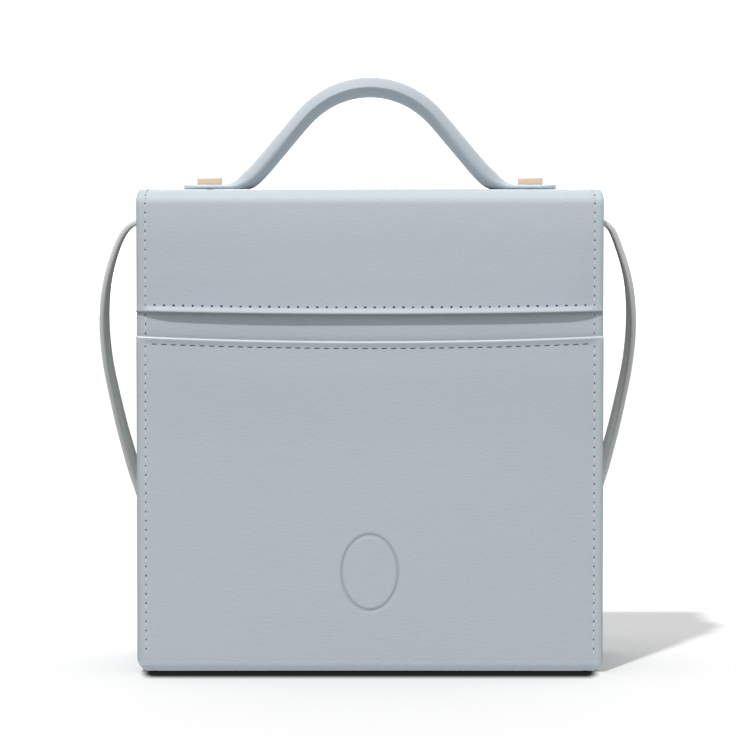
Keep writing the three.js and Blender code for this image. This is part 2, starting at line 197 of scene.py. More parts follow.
class Finish:
    """A material under construction, with one method that adds any node."""

    def __init__(self, name):
        self.material = bpy.data.materials.new(name)
        self.material.use_nodes = True
        self.tree = self.material.node_tree
        self.tree.nodes.clear()

    def node(self, kind, settings=None, inputs=(), output=0):
        """Adds a node: its settings first, then its inputs by order or by name."""
        node = self.tree.nodes.new(kind)
        for key, value in (settings or {}).items():
            setattr(node, key, value)
        pairs = inputs.items() if isinstance(inputs, dict) else enumerate(inputs)
        for key, value in pairs:
            if isinstance(value, Socket):
                self.tree.links.new(value.socket, node.inputs[key])
            else:
                node.inputs[key].default_value = value
        return Socket(self, node.outputs[output])

    def position(self):
        return self.node("ShaderNodeTexCoord", output="Object")

    def attribute(self, name):
        return self.node("ShaderNodeAttribute", {"attribute_name": name}, output="Fac")

    def axes(self, vector):
        split = self.node("ShaderNodeSeparateXYZ", inputs=[vector])
        outputs = split.socket.node.outputs
        return [Socket(self, outputs[i]) for i in range(3)]

    def noise(self, vector, scale, detail=2.0, roughness=0.5):
        values = {"Vector": vector, "Scale": scale, "Detail": detail, "Roughness": roughness}
        return self.node("ShaderNodeTexNoise", inputs=values, output="Fac")

    def mix(self, factor, first, second):
        """A blend of two colours."""
        node_inputs = {0: factor, 6: opaque(first), 7: opaque(second)}
        return self.node("ShaderNodeMix", {"data_type": "RGBA"}, node_inputs, output=2)

    def beyond(self, value, limit):
        """How far a value's size goes past a limit, and 0 within it."""
        return (value.size() - limit).at_least(0.0)

    def bump(self, height, distance, strength=1.0, under=None):
        values = {"Strength": strength, "Distance": distance, "Height": height}
        if under is not None:
            values["Normal"] = under
        return self.node("ShaderNodeBump", inputs=values)

    def done(self, **sockets):
        named = {key.replace("_", " "): value for key, value in sockets.items()}
        shader = self.node("ShaderNodeBsdfPrincipled", inputs=named)
        output = self.tree.nodes.new("ShaderNodeOutputMaterial")
        self.tree.links.new(shader.socket, output.inputs["Surface"])
        return self.material


def opaque(colour):
    """A colour with full alpha, or a socket as it is."""
    return colour if isinstance(colour, Socket) else (*colour, 1)


def rgb(red, green, blue):
    """A screen colour of 0 to 255 as linear light."""
    parts = np.array([red, green, blue]) / 255
    return tuple(np.where(parts < 0.04045, parts / 12.92, ((parts + 0.055) / 1.055) ** 2.4).tolist())


LEATHER_TONE = rgb(178, 186, 192)
LEATHER_DEEP = rgb(166, 175, 182)
EDGE_TONE = rgb(150, 153, 146)
STRAP_TONE = rgb(192, 194, 192)
THREAD_TONE = rgb(202, 209, 214)
HOLE_TONE = rgb(58, 62, 66)
GOLD_TONE = rgb(243, 219, 194)


def leather_grain(finish, place, coarse):
    """Pores and fine creases: cell edges broken up by noise, over a soft unevenness."""
    cells = finish.node(
        "ShaderNodeTexVoronoi",
        {"feature": "DISTANCE_TO_EDGE"},
        {"Vector": place, "Scale": coarse},
        output="Distance",
    )
    fine = finish.noise(place, coarse * 1.7, 3.0)
    soft = finish.noise(place, 60.0, 2.0)
    streaks = finish.node("ShaderNodeMapping", inputs={"Vector": place, "Scale": (0.45, 0.6, 1.5)})
    wrinkles = finish.noise(streaks, coarse * 0.55, 3.0, 0.65)
    pores = finish.bump(cells * 0.4 + fine * 0.6, 0.00015, 0.4)
    pores = finish.bump(wrinkles, 0.0003, 0.4, pores)
    return finish.bump(soft, 0.0012, 0.15, pores)


def bag_leather():
    """Smooth pale blue-grey leather: slow tone drift, darker towards cut edges, a debossed oval."""
    finish = Finish("bag_leather")
    place = finish.position()
    x, y, z = finish.axes(place)
    drift = finish.noise(place, 9.0, 2.0)
    speck = finish.noise(place, 420.0, 2.0)
    edge = finish.attribute("edge")
    worn = finish.node("ShaderNodeMapRange", {"clamp": True}, [edge, 0.3, 1.6, 0.6, 0.0])
    tone = finish.mix(drift * 0.5 + speck * 0.18, LEATHER_TONE, LEATHER_DEEP)
    # Painted light: a pale tint for a highlight near the top and at the lip, and lift on downward faces.
    painted_light = finish.attribute("painted_light")
    colour = finish.mix(worn, tone, rgb(150, 160, 167))
    colour = finish.mix(painted_light * 0.6, colour, rgb(206, 221, 229))
    oval_x = (x / OVAL_HALF[0]) ** 2.0
    oval_z = ((z - OVAL_Z) / OVAL_HALF[1]) ** 2.0
    ring = ((oval_x + oval_z) ** 0.5 - 1.0) * OVAL_HALF[0] / 0.0006
    dent = (2.718 ** (0.0 - ring * ring)) * y.below(-0.0355)
    normal = leather_grain(finish, place, 1300.0)
    normal = finish.bump(0.0 - dent, 0.0004, 0.9, normal)
    colour = finish.mix(dent * 0.35, colour, rgb(120, 130, 138))
    rough = 0.46 + drift * 0.06 + speck * 0.05
    return finish.done(
        Base_Color=colour, Roughness=rough, Normal=normal, Specular_IOR_Level=0.42, Sheen_Weight=0.08
    )


def edge_paint():
    """The sealed cut edge: greyer, satin, with fine lengthwise unevenness."""
    finish = Finish("edge_paint")
    place = finish.position()
    drift = finish.noise(place, 300.0, 3.0)
    colour = finish.mix(drift, EDGE_TONE, rgb(134, 143, 146))
    normal = finish.bump(drift, 0.0003, 0.3)
    return finish.done(Base_Color=colour, Roughness=0.4, Normal=normal)


def rolled_edge_highlight():
    """The pocket's turned edge: more polished than the leather, and paler as a painted highlight along
    it.
    """
    finish = Finish("rolled_edge_highlight")
    place = finish.position()
    drift = finish.noise(place, 220.0, 3.0)
    colour = finish.mix(drift, rgb(212, 220, 226), rgb(192, 201, 208))
    normal = finish.bump(drift, 0.0002, 0.25)
    return finish.done(Base_Color=colour, Roughness=0.3, Normal=normal)


def strap_leather():
    """Grey strap leather with pale painted sides and a darker back, part flesh side and part painted
    shade.
    """
    finish = Finish("strap_leather")
    place = finish.position()
    drift = finish.noise(place, 14.0, 2.0)
    speck = finish.noise(place, 500.0, 2.0)
    side = finish.attribute("side")
    back = finish.attribute("back")
    tone = finish.mix(drift * 0.6 + speck * 0.2, STRAP_TONE, rgb(176, 179, 178))
    colour = finish.mix(side * 0.9, tone, rgb(216, 218, 215))
    colour = finish.mix(back, colour, rgb(94, 99, 97))
    normal = leather_grain(finish, place, 1500.0)
    return finish.done(
        Base_Color=colour, Roughness=0.5 + speck * 0.08, Normal=normal, Specular_IOR_Level=0.15
    )


def rose_gold():
    """Polished pale rose gold plate with hairline wear."""
    finish = Finish("rose_gold")
    place = finish.position()
    drawn = finish.node("ShaderNodeMapping", inputs={"Vector": place, "Scale": (1.0, 14.0, 1.0)})
    hair = finish.noise(drawn, 260.0, 4.0, 0.7)
    cloud = finish.noise(place, 180.0, 2.0)
    colour = finish.mix(cloud * 0.5, GOLD_TONE, rgb(235, 207, 180))
    normal = finish.bump(hair, 0.0001, 0.08)
    return finish.done(Base_Color=colour, Metallic=0.7, Roughness=0.34 + hair * 0.12, Normal=normal)


def sewing_thread():
    """Pale twisted thread: the ply shows as slanting bands."""
    finish = Finish("sewing_thread")
    place = finish.position()
    ply = finish.node(
        "ShaderNodeTexWave",
        {"bands_direction": "DIAGONAL"},
        {"Vector": place, "Scale": 900.0, "Distortion": 1.0},
        output="Fac",
    )
    colour = finish.mix(ply * 0.5, THREAD_TONE, rgb(186, 193, 198))
    normal = finish.bump(ply, 0.0001, 0.5)
    return finish.done(Base_Color=colour, Roughness=0.62, Normal=normal)


def needle_shadow():
    """Painted shade inside a needle hole."""
    finish = Finish("needle_shadow")
    place = finish.position()
    fleck = finish.noise(place, 900.0, 2.0)
    colour = finish.mix(fleck, HOLE_TONE, rgb(84, 90, 95))
    return finish.done(Base_Color=colour, Roughness=0.9)


OVAL_Z = 0.041
OVAL_HALF = (0.0115, 0.0155)
LEATHER = bag_leather()
EDGE = edge_paint()
RIM = rolled_edge_highlight()
STRAP_SKIN = strap_leather()
GOLD = rose_gold()
THREAD_SKIN = sewing_thread()
HOLE_SKIN = needle_shadow()


# Meshes


def mesh_piece(name, points, quads, materials, face_material=None, values=None):
    """Puts arrays of points in millimetres and of four-cornered faces into a new mesh."""
    mesh = bpy.data.meshes.new(name)
    mesh.vertices.add(len(points))
    mesh.vertices.foreach_set("co", (points * 0.001).ravel())
    mesh.loops.add(quads.size)
    mesh.loops.foreach_set("vertex_index", quads.ravel().astype(np.int32))
    mesh.polygons.add(len(quads))
    mesh.polygons.foreach_set("loop_start", np.arange(0, quads.size, 4, dtype=np.int32))
    for material in materials:
        mesh.materials.append(material)
    if face_material is not None:
        mesh.polygons.foreach_set("material_index", face_material.astype(np.int32))
    for key, numbers in (values or {}).items():
        layer = mesh.attributes.new(key, "FLOAT", "POINT")
        layer.data.foreach_set("value", numbers.astype(np.float32))
    mesh.update(calc_edges=True)
    mesh.validate()
    mesh.polygons.foreach_set("use_smooth", np.ones(len(mesh.polygons), dtype=bool))
    piece = bpy.data.objects.new(name, mesh)
    bpy.context.scene.collection.objects.link(piece)
    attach(piece, "root")
    return piece


def dress(node=None):
    """Hides the CAD solid that a piece stands for, when one is given."""
    if node:
        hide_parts(node)


def crisp(piece, degrees):
    """Keeps edges sharper than an angle crisp in the shading."""
    piece.data.set_sharp_from_angle(angle=math.radians(degrees))


def outward(points, quads):
    """The faces, turned if the closed body they bound has a negative volume."""
    a, b, c, d = (points[quads[:, i]] for i in range(4))
    volume = (a * np.cross(b, c)).sum() + (a * np.cross(c, d)).sum()
    return quads if volume > 0 else quads[:, ::-1]


def grid_quads(rows, columns, start=0):
    """Faces of a grid of points that is numbered row by row from start."""
    base = np.arange(rows - 1)[:, None] * columns + np.arange(columns - 1)[None, :] + start
    return np.stack([base, base + 1, base + columns + 1, base + columns], -1).reshape(-1, 4)


def border(rows, columns):
    """The numbers of a grid's outermost points in order round it, and of the points one step in."""
    top = [(0, j) for j in range(columns - 1)]
    right = [(i, columns - 1) for i in range(rows - 1)]
    bottom = [(rows - 1, j) for j in range(columns - 1, 0, -1)]
    left = [(i, 0) for i in range(rows - 1, 0, -1)]
    ij = np.array(top + right + bottom + left)
    step = np.clip(ij, [1, 1], [rows - 2, columns - 2])
    return ij @ [columns, 1], step @ [columns, 1]


def leather_sheet(
    name, outer, inner, bulge, materials, values=None, rim_steps=5, first_bulge=None, last_bulge=None
):
    """Two grids of points joined round their border by a half-round rim.

    A rim point is the middle between both skins, plus half their difference times a cosine, plus
    the outward direction in the sheet times the bulge and a sine. The rim along the first row and
    that along the last column can have their own bulge, and the first row a third material.
    """
    rows, columns = outer.shape[:2]
    skin = outer.reshape(-1, 3)
    lining = inner.reshape(-1, 3)
    loop, step = border(rows, columns)
    away = skin[loop] - skin[step]
    away /= np.linalg.norm(away, axis=1, keepdims=True)
    middle = (skin[loop] + lining[loop]) / 2
    half = (skin[loop] - lining[loop]) / 2
    turn = np.linspace(0, np.pi, rim_steps + 1)[1:-1, None, None]
    first = np.arange(len(loop)) < columns - 1
    bulges = np.full((len(loop), 1), bulge)
    if first_bulge is not None:
        bulges[first] = first_bulge
    if last_bulge is not None:
        bulges[columns - 1:columns + rows - 2] = last_bulge
    rim = middle + half * np.cos(turn) + away * bulges * np.sin(turn)
    points = np.concatenate([skin, lining, rim.reshape(-1, 3)])
    count = len(loop)
    rings = [loop, *(2 * len(skin) + count * k + np.arange(count) for k in range(rim_steps - 1))]
    rings.append(len(skin) + loop)
    faces = [grid_quads(rows, columns), grid_quads(rows, columns, len(skin))[:, ::-1]]
    for near, far in zip(rings, rings[1:]):
        faces.append(np.stack([near, far, np.roll(far, -1), np.roll(near, -1)], -1))
    quads = outward(points, np.concatenate(faces))
    plain = 2 * (rows - 1) * (columns - 1)
    trim = np.where(first, len(materials) - 1, 1)
    face_material = np.concatenate([np.zeros(plain, int), np.tile(trim, len(rings) - 1)])
    attributes = {}
    for key, numbers in (values or {}).items():
        flat = numbers.ravel()
        attributes[key] = np.concatenate([flat, flat, np.tile(flat[loop], rim_steps - 1)])
    return mesh_piece(name, points, quads, materials, face_material, attributes)


def ringed_body(name, rings, materials, face_material=None, values=None):
    """A closed body through rings of points, each end drawn together to its ring's middle."""
    count, sides = rings.shape[:2]
    ends = [rings[:1].mean(1, keepdims=True), rings[-1:].mean(1, keepdims=True)]
    caps = [np.repeat(end, sides, axis=1) for end in ends]
    full = np.concatenate([caps[0], rings, caps[1]])
    points = full.reshape(-1, 3)
    i = np.arange(count + 1)[:, None] * sides
    j = np.arange(sides)[None, :]
    k = (j + 1) % sides
    quads = np.stack([i + j, i + k, i + sides + k, i + sides + j], -1).reshape(-1, 4)
    attributes = {}
    for key, numbers in (values or {}).items():
        padded = np.concatenate([numbers[:1], numbers, numbers[-1:]])
        attributes[key] = padded.ravel()
    piece = mesh_piece(name, points, outward(points, quads), materials, face_material, attributes)
    return piece


def spaced(near, far, step, fine=(0.0, 0.3, 0.8, 1.6, 2.6, 3.4, 4.2, 5.4)):
    """Places from near to far: close together next to both ends, an even step between."""
    span = far - near
    marks = np.array([m for m in fine if m < span / 2.5])
    inner = np.linspace(marks[-1], span - marks[-1], max(2, int(round(span / step))))
    return near + np.unique(np.concatenate([marks, inner, span - marks]))


# Panels that follow a profile


def line(start, end, normal, step=3.0):
    """Rows of y, z and the outward normal along a straight run, without its last point."""
    count = max(2, int(np.hypot(end[0] - start[0], end[1] - start[1]) / step) + 1)
    share = np.linspace(0, 1, count, endpoint=False)[:, None]
    place = np.array(start) * (1 - share) + np.array(end) * share
    return np.hstack([place, np.tile(normal, (count, 1))])


def arc(y, z, radius, start, end, count=14):
    """Rows of y, z and the outward normal on an arc, angles measured from +Y towards +Z."""
    angle = np.linspace(start, end, count)
    ny, nz = np.cos(angle), np.sin(angle)
    return np.stack([y + radius * ny, z + radius * nz, ny, nz], -1)


# How a free edge rolls: forward at the edge itself, back under its seam, level further on
ROLL_OUT = 0.6
ROLL_IN = 0.4
ROLL_START = 0.2
ROLL_VALLEY = 2.3
ROLL_END = 16.0
# How the outer skin sinks: slow waves, a groove along the side seams, thinned corners
WAVE = 0.09
LONG_WAVE = 0.06
SEAM_GROOVE = 0.14
GROOVE_WIDTH = 0.7
THINNED_WIDTH = 14.0


class Panel:
    """A leather panel that follows a profile from its free front edge over the folds.

    A point is found from the distance along the profile and the share of the half width. Its
    front dips and swells in the middle, and both fade to nothing at the first fold.
    """

    def __init__(
        self, profile, thick, half_at, edge_z, fold_z,
        dip=0.0, swell=0.0, skive=0.0, roll=0.0, lean=(0.0, 0.0, 1.0), glint=0.0,
    ):
        step = np.hypot(*(profile[1:, :2] - profile[:-1, :2]).T)
        keep = np.concatenate([[True], step > 1e-6])
        self.profile = profile[keep]
        self.length = np.concatenate([[0], np.cumsum(step[step > 1e-6])])
        self.thick = thick
        self.half_at = half_at
        self.edge_z, self.fold_z = edge_z, fold_z
        self.dip, self.swell, self.skive = dip, swell, skive
        self.roll, self.lean, self.glint = roll, lean, glint

    def row(self, s):
        """The y, z and outward normal of the profile at a distance along it."""
        return [np.interp(s, self.length, self.profile[:, i]) for i in range(4)]

    def place(self, s, share, depth=0.0):
        """The point at a distance along the profile and a share of the half width.

        It lies on the profile, lower by the dip times 1 minus the share squared, and forward by
        the swell times 1 minus the share to the fourth, by the lean and by the edge's roll. The
        outer skin sinks by slow sine waves, by a bell-shaped groove under the side seam and by
        what is thinned off towards the sides. The inner skin lies a depth behind.
        """
        y, z, ny, nz = self.row(s)
        half = self.half_at(z)
        x = share * half
        side = half - np.abs(x)
        front = ny < -0.999
        fade = np.where(front, np.clip((z - self.fold_z) / (self.edge_z - self.fold_z), 0, 1), 0)
        fade = fade * (self.dip > 0)
        forward = self.swell * fade**2 * (1 - share**4)
        down = self.dip * fade * (1 - share**2)
        reach, start, end = self.lean
        forward = forward + reach * smooth(z, start, end) * np.clip(-ny, 0, 1)
        back = smooth(s, ROLL_START, ROLL_VALLEY)
        level = smooth(s, ROLL_VALLEY, ROLL_END)
        rolled = ROLL_OUT - (ROLL_OUT + ROLL_IN) * back + ROLL_IN * level
        rolled = rolled * smooth(side, 1, 5)
        forward = forward + self.roll * rolled * front
        soft = WAVE * np.sin(x / 19 + 0.7) * np.sin(s / 27 + 1.1)
        soft = soft + LONG_WAVE * np.sin(x / 43 - s / 31)
        groove = SEAM_GROOVE * np.exp(-(((side - SEAM_INSET) / GROOVE_WIDTH) ** 2))
        thinned = self.skive * (1 - smooth(side, 0, THINNED_WIDTH)) * fade
        sink = soft * smooth(side, 0, 12) + groove + thinned if depth == 0 else 0
        low = np.maximum(z - nz * (depth + sink) - down, 0)
        return np.stack([x, y - ny * (depth + sink) - forward, low], -1)

    def painted_light_share(self, s, inset):
        """Painted light: a highlight near the top, lift on downward faces and a glint at the free edge.
        """
        _, z, _, upward = self.row(s)
        pale = 0.3 * smooth(z, 172, 194) * (upward > -0.5)
        pale = pale + 0.05 * smooth(upward, 0.0, 0.5) + 1.5 * smooth(upward, 0.0, -0.5)
        return pale + self.glint * smooth(s, ROLL_VALLEY, 1.3) * smooth(inset, 1, 6)

    def sheet(self, name, step=3.2, bulge=0.3, edge_bulge=None, trim=()):
        """The whole panel as a mesh: place on a grid of distances and shares, in two skins."""
        s = np.unique(np.concatenate([spaced(0, self.length[-1], step), self.length]))
        across = spaced(-HALF_WIDTH, HALF_WIDTH, 3.0) / HALF_WIDTH
        s, share = np.meshgrid(s, across, indexing="ij")
        outer = self.place(s, share)
        inner = self.place(s, share, self.thick)
        inset = self.half_at(self.row(s)[1]) * (1 - np.abs(share))
        edge = np.minimum(inset, np.minimum(s, self.length[-1] - s))
        values = {"edge": edge + 2 * smooth(s, 3, 0), "painted_light": self.painted_light_share(s, inset)}
        skins = [LEATHER, EDGE, *trim]
        return leather_sheet(name, outer, inner, bulge, skins, values, first_bulge=edge_bulge)


def wrap_half(z):
    """Half the wrap's width at a height: it draws in round the bottom folds."""
    return HALF_WIDTH - BOTTOM_TAPER * np.clip(1 - z / FOLD, 0, 1) ** 2


def flap_half(z):
    """Half the flap's width at a height: its corners draw in round the top folds."""
    return HALF_WIDTH - CORNER_TAPER * np.clip((z - FOLD_TOP) / FOLD, 0, 1) ** 4


quarter = np.pi / 2
fold_y = HALF_DEPTH - FOLD
wrap_profile = np.vstack([
    line((-HALF_DEPTH, POCKET_Z), (-HALF_DEPTH, FOLD), (-1, 0)),
    arc(-fold_y, FOLD, FOLD, 2 * quarter, 3 * quarter),
    line((-fold_y, 0), (fold_y, 0), (0, -1)),
    arc(fold_y, FOLD, FOLD, 3 * quarter, 4 * quarter),
    line((HALF_DEPTH, FOLD), (HALF_DEPTH, WALL_TOP), (1, 0)),
    [[HALF_DEPTH, WALL_TOP, 1, 0]],
])
wrap = Panel(
    wrap_profile, WRAP_LEATHER, wrap_half, POCKET_Z, FOLD,
    POCKET_DIP, POCKET_SWELL, POCKET_SKIVE, POCKET_ROLL, (POCKET_LEAN, LEAN_START, POCKET_Z),
)
body_wrap = wrap.sheet("wrap_leather", edge_bulge=POCKET_RIM, trim=[RIM])
dress("body_wrap")

flap_front = -HALF_DEPTH
flap_back = HALF_DEPTH + GAP + FLAP_LEATHER
flap_mid = (flap_front + flap_back) / 2
flap_fold = (flap_back - flap_front) / 2 - FOLD
crown_turn = 2 * math.atan(TOP_CROWN / flap_fold)
crown_radius = FOLD + flap_fold / math.sin(crown_turn)
flap_profile = np.vstack([
    line((flap_front, LIP_Z + LIP_EDGE), (flap_front, FOLD_TOP), (-1, 0), 2.5),
    arc(flap_mid - flap_fold, FOLD_TOP, FOLD, 2 * quarter, quarter + crown_turn),
    arc(flap_mid, CROWN_Z - crown_radius, crown_radius, quarter + crown_turn, quarter - crown_turn, 22),
    arc(flap_mid + flap_fold, FOLD_TOP, FOLD, quarter - crown_turn, 0),
    line((flap_back, FOLD_TOP), (flap_back, FOLD_TOP - FLAP_TAIL), (1, 0)),
    [[flap_back, FOLD_TOP - FLAP_TAIL, 1, 0]],
])
cover = Panel(
    flap_profile, FLAP_LEATHER, flap_half, LIP_Z, FOLD_TOP,
    LIP_DIP, LIP_SWELL, FLAP_SKIVE, LIP_ROLL, glint=FLAP_GLINT,
)
flap = cover.sheet("flap_leather", 2.6, edge_bulge=LIP_EDGE)
dress("flap")

inner_y = -HALF_DEPTH + WRAP_LEATHER + GAP
inner_profile = np.vstack([
    line((inner_y, FOLD), (inner_y, WALL_TOP), (-1, 0)),
    [[inner_y, WALL_TOP, -1, 0]],
])
inner_wall = Panel(inner_profile, PANEL_LEATHER, wrap_half, WALL_TOP, FOLD)
inner_panel = inner_wall.sheet("inner_front_leather")
dress("inner_front_panel")


# Gussets


def gusset_piece(side, name, node):
    """A side wall whose edge bends out into a flange along the seam path.

    Rows follow the seam down the front, round the bottom and up the back. Columns run from the
    flange's edge, round the bend, and over the wall to its upright middle line. The wall sinks
    by the sag times the sine of the way to the middle and the sine of the height's share.
    """
    seam = FOLD - WRAP_LEATHER - GAP
    front = -HALF_DEPTH + WRAP_LEATHER + PANEL_LEATHER + 2 * GAP
    back = HALF_DEPTH - WRAP_LEATHER - GAP
    path = np.vstack([
        line((front, WALL_TOP), (front, FOLD), (-1, 0), 6.0),
        arc(front + seam, FOLD, seam, 2 * quarter, 3 * quarter, 8),
        line((front + seam, FOLD - seam), (back - seam, FOLD - seam), (0, -1), 6.0)[1:],
        arc(back - seam, FOLD, seam, 3 * quarter, 4 * quarter, 8),
        line((back, FOLD), (back, WALL_TOP), (1, 0), 6.0)[1:],
        [[back, WALL_TOP, 1, 0]],
    ])
    bend = FOLD - WRAP_LEATHER - 2 * GAP
    centre = HALF_WIDTH - FLANGE - GUSSET_LEATHER + bend
    y, z, ny, nz = path.T
    reach = wrap_half(FOLD * (1 + nz))[:, None]
    middle = (front + back) / 2
    spine_z = np.clip(z, 24, None)

    def skin(radius, depth):
        """One skin of the sheet, from its bend's radius and its depth below the seam."""
        share = np.array([0, 0.06, 0.2, 0.5, 0.8])[None, :]
        flange_x = reach + (centre - reach) * share
        flange_in = np.full_like(flange_x, depth)
        angle = np.linspace(0, quarter, 9)[None, :]
        bend_x = np.repeat(centre - radius * np.sin(angle), len(path), 0)
        bend_in = np.repeat(bend - radius * np.cos(angle), len(path), 0)
        x = np.hstack([flange_x, bend_x])
        inward = np.hstack([flange_in, bend_in])
        grid_y = y[:, None] - ny[:, None] * inward
        grid_z = z[:, None] - nz[:, None] * inward
        toward = np.linspace(0, 1, 10)[1:][None, :]
        wall_y = grid_y[:, -1:] * (1 - toward) + middle * toward
        wall_z = grid_z[:, -1:] * (1 - toward) + spine_z[:, None] * toward
        hollow = GUSSET_SAG * np.sin(toward * quarter) * np.sin(np.clip(wall_z / WALL_TOP, 0, 1) * np.pi)
        wall_x = x[:, -1:] - hollow
        x = np.hstack([x, wall_x])
        return np.stack([side * x, np.hstack([grid_y, wall_y]), np.hstack([grid_z, wall_z])], -1)

    outside = skin(bend - GUSSET_LEATHER, GUSSET_LEATHER)
    inside = skin(bend, 0.0)
    edge = np.minimum(np.linspace(0, 60, outside.shape[1])[None, :], (WALL_TOP + 1 - outside[..., 2]))
    piece = leather_sheet(
        name, outside, inside, 0.35, [LEATHER, EDGE], {"edge": edge}, last_bulge=0.0
    )
    crisp(piece, 50)
    dress(node)
    return piece


gussets = [gusset_piece(-1, "gusset_leather_left", "gusset_left")]
gussets.append(gusset_piece(1, "gusset_leather_right", "gusset_right"))


# Handle

tongue_z = CROWN_Z + GAP + TONGUE_THICK / 2
leg_length = HANDLE_RISE - (CROWN_RADIUS + FOOT_RADIUS) * (1 - math.cos(LEG_TURN))
leg_length /= math.sin(LEG_TURN)
foot_x = (CROWN_RADIUS + FOOT_RADIUS) * math.sin(LEG_TURN) + leg_length * math.cos(LEG_TURN)
tip_x = foot_x + TONGUE_LENGTH
stud_x = tip_x - STUD_INSET
apex_z = tongue_z + HANDLE_RISE


def distances(path):
    """How far along the path each of its points lies."""
    return np.concatenate([[0], np.cumsum(np.linalg.norm(np.diff(path, axis=0), axis=1))])


def eased(path, s, spread, weight):
    """The path smoothed where the weight is 1: there a point takes a bell-weighted mean of its
    neighbours along the path, and where the weight is 0 it keeps its place.
    """
    even = np.linspace(0, s[-1], 800)
    track = np.stack([np.interp(even, s, path[:, i]) for i in range(3)], -1)
    bell = np.exp(-(((s[:, None] - even[None, :]) / spread) ** 2))
    mean = bell @ track / bell.sum(1, keepdims=True)
    return path + (mean - path) * weight[:, None]


def handle_path():
    """Rows of x, z and slope: a tongue, the foot bend, the leg, the crown arc, then mirrored."""
    near_tip = [0.004, 0.015, 0.04, 0.08, 0.13]
    tongue = -tip_x + TONGUE_LENGTH * np.concatenate([near_tip, np.linspace(0.2, 0.98, 22)])
    tongue = np.stack([tongue, np.full_like(tongue, tongue_z), np.zeros_like(tongue)], -1)
    turn = np.linspace(0, LEG_TURN, 12)
    foot = np.stack([
        -foot_x + FOOT_RADIUS * np.sin(turn),
        tongue_z + FOOT_RADIUS * (1 - np.cos(turn)),
        turn,
    ], -1)
    fall = np.linspace(LEG_TURN, 0, 26)
    crown = np.stack([
        -CROWN_RADIUS * np.sin(fall),
        apex_z - CROWN_RADIUS * (1 - np.cos(fall)),
        fall,
    ], -1)
    share = np.linspace(0, 1, 18)[1:-1, None]
    leg = foot[-1:] * (1 - share) + crown[:1] * share
    half = np.vstack([tongue, foot, leg, crown])
    whole = np.vstack([half, (half * [-1, 1, -1])[-2::-1]])
    weight = smooth(foot_x - np.abs(whole[:, 0]), 2, 14)
    return eased(whole, distances(whole[:, :2]), HANDLE_EASE, weight)


def handle_piece():
    """A lens section carried along the handle's path.

    Across, a point is the half width times a cosine. Its height is the half thickness times a
    blend of a circle and a parabola, so that both domes meet in a crisp edge on each side. A
    tongue is a flat slab with soft corners. No point of a foot goes below the tongue.
    """
    x, z, angle = (column[:, None] for column in handle_path().T)
    from_tip = tip_x - np.abs(x)
    round_tip = np.sqrt(np.clip(1 - (1 - np.clip(from_tip / (TONGUE_WIDTH / 2), 0, 1)) ** 2, 0.0004, 1))
    rise = smooth(foot_x + FLARE_LEAD - np.abs(x), 0, FOOT_FLARE)
    crest = smooth((z - tongue_z) / HANDLE_RISE, 0.6, 1)
    thick = HAUNCH_THICK + (APEX_THICK - HAUNCH_THICK) * crest
    half = TONGUE_WIDTH * round_tip + (ARCH_WIDTH - TONGUE_WIDTH) * rise
    turn = np.linspace(0, 2 * np.pi, 48, endpoint=False)[None, :]
    across = np.cos(turn)
    crisp_share = 0.12 + 0.58 * smooth((z - tongue_z) / HANDLE_RISE, 0.3, 0.75)
    dome = (1 - crisp_share) * np.sqrt(1 - across**2) + crisp_share * (1 - across**2)
    slab = (1 - across**10) ** 0.5
    sunk = np.where(np.sin(turn) < 0, GAP, 0)
    lift = np.sign(np.sin(turn)) * (
        dome * thick / 2 * rise + slab * (TONGUE_THICK / 2 + sunk) * (1 - rise)
    )
    px = x - lift * np.sin(angle)
    py = half / 2 * across + 0 * px
    pz = np.maximum(CROWN_Z + 0.02, z + lift * np.cos(angle))
    rings = np.stack([px, py, pz], -1)
    edge = np.minimum((1 - np.abs(across)) * half / 2 + 1, 1.2)
    # Painted highlight: the tongues' rounded sides are made paler.
    painted_light = 1.1 * (1 - rise) * smooth(np.abs(across), 0.7, 0.98)
    piece = ringed_body("handle_leather", rings, [LEATHER], None, {"edge": edge, "painted_light": painted_light})
    dress("handle")
    return piece


handle = handle_piece()


# Studs and rivets


def square_ring(half, corner, steps=6):
    """Points round a square with round corners, as offsets from its middle."""
    angle = np.linspace(0, quarter, steps)
    quarters = [
        np.stack([np.cos(angle + k * quarter), np.sin(angle + k * quarter)], -1) * corner
        + (half - corner) * np.array([[1, 1], [-1, 1], [-1, -1], [1, -1]][k])
        for k in range(4)
    ]
    return np.vstack(quarters)


def round_ring(radius, count=24):
    """Points on a circle, as offsets from its middle."""
    angle = np.linspace(0, 2 * np.pi, count, endpoint=False)
    return radius * np.stack([np.cos(angle), np.sin(angle)], -1)


def stud_piece(side, name, node):
    """A square stud: a block with a rolled upper edge and a faint dome, on a shank and tail.

    Each level is a square ring with round corners. Round the rolled edge the half size shrinks
    by 1 minus a cosine and the height grows by a sine.
    """
    seat = tongue_z + TONGUE_THICK / 2 + 0.02
    top = seat + GAP + STUD_HEIGHT
    tail_top = CROWN_Z - FLAP_LEATHER - 2 * GAP
    half = STUD_SIZE / 2
    turn = np.linspace(0, quarter, 6)
    roll = STUD_ROLL
    levels = [
        (TAIL_RADIUS, 2.9, tail_top - TAIL_THICK),
        (TAIL_RADIUS, 2.9, tail_top),
        (SHANK, 1.4, tail_top),
        (SHANK, 1.4, seat),
        (half - 0.2, 0.6, seat),
        (half, 0.7, seat + 0.2),
        *((half - roll * (1 - math.cos(a)), 0.7, top - roll + roll * math.sin(a)) for a in turn),
        (half - 1.2, 0.6, top + 0.02),
        (half * 0.4, 0.5, top + 0.05),
    ]
    rings = np.array([
        np.column_stack([square_ring(size, min(corner, size * 0.95)), np.full(24, z)])
        for size, corner, z in levels
    ])
    rings[..., 0] += side * stud_x
    piece = ringed_body(name, rings, [GOLD])
    crisp(piece, 35)
    dress(node)
    return piece


